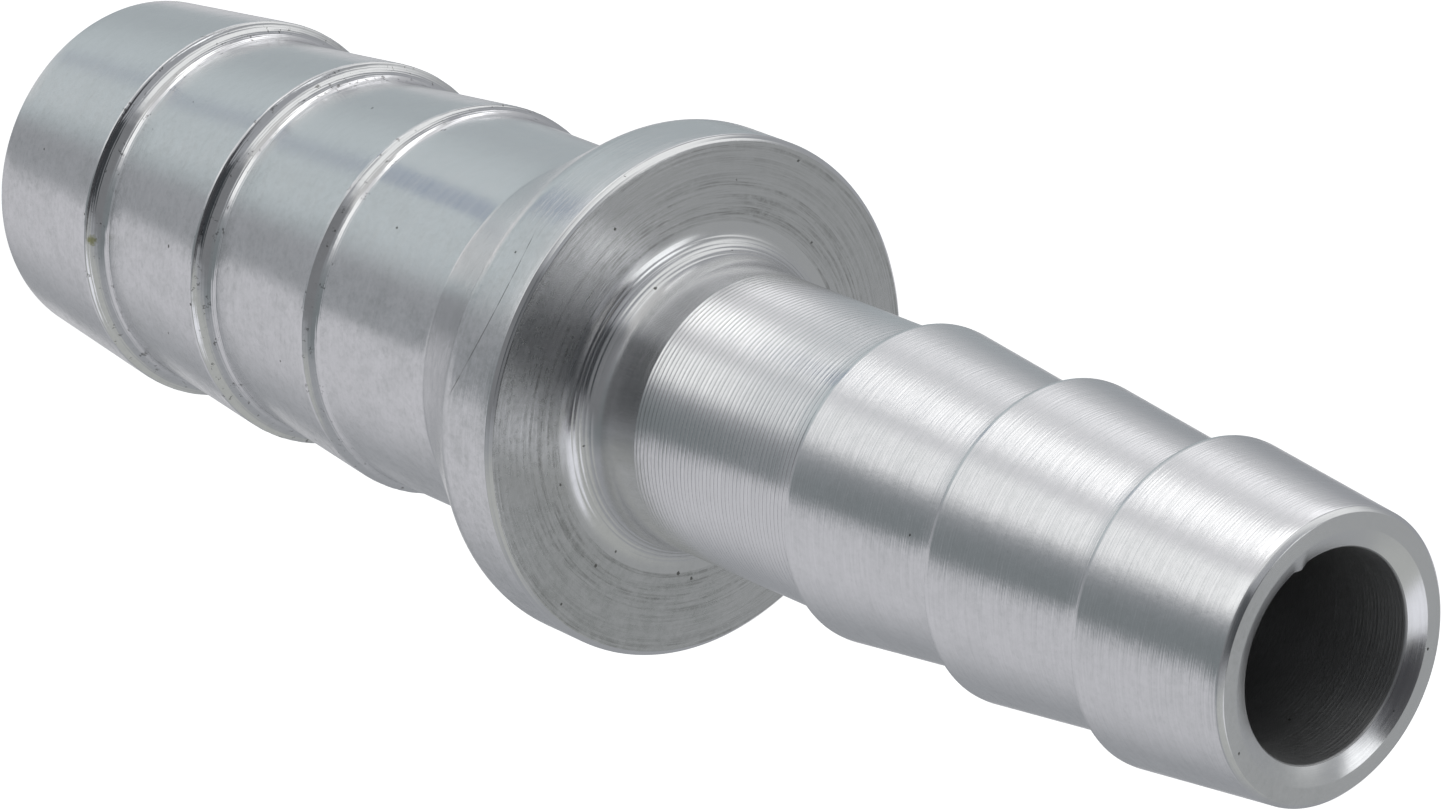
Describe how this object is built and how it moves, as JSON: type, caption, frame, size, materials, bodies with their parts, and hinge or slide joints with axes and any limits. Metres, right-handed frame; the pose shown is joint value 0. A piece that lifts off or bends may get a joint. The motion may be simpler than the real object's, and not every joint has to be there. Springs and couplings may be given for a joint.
{
  "type": "hose connector",
  "caption": "Straight reducing hose connector with a barbed spigot at each end of a conical-backed collar and a stepped bore right through.",
  "frame": {"origin": "centre of the wide spigot's end face, on which the connector stands", "axes": "+Z along the connector's axis, from the wide spigot to the narrow one; X and Y are any directions across it, because the part is fully round"},
  "size_m": [0.018, 0.018, 0.0616],
  "materials": {
    "turned_aluminium": "as turned, semi-bright, with fine tool marks"
  },
  "bodies": {
    "root": {"connector_body": "turned_aluminium"}
  },
  "joints": []
}
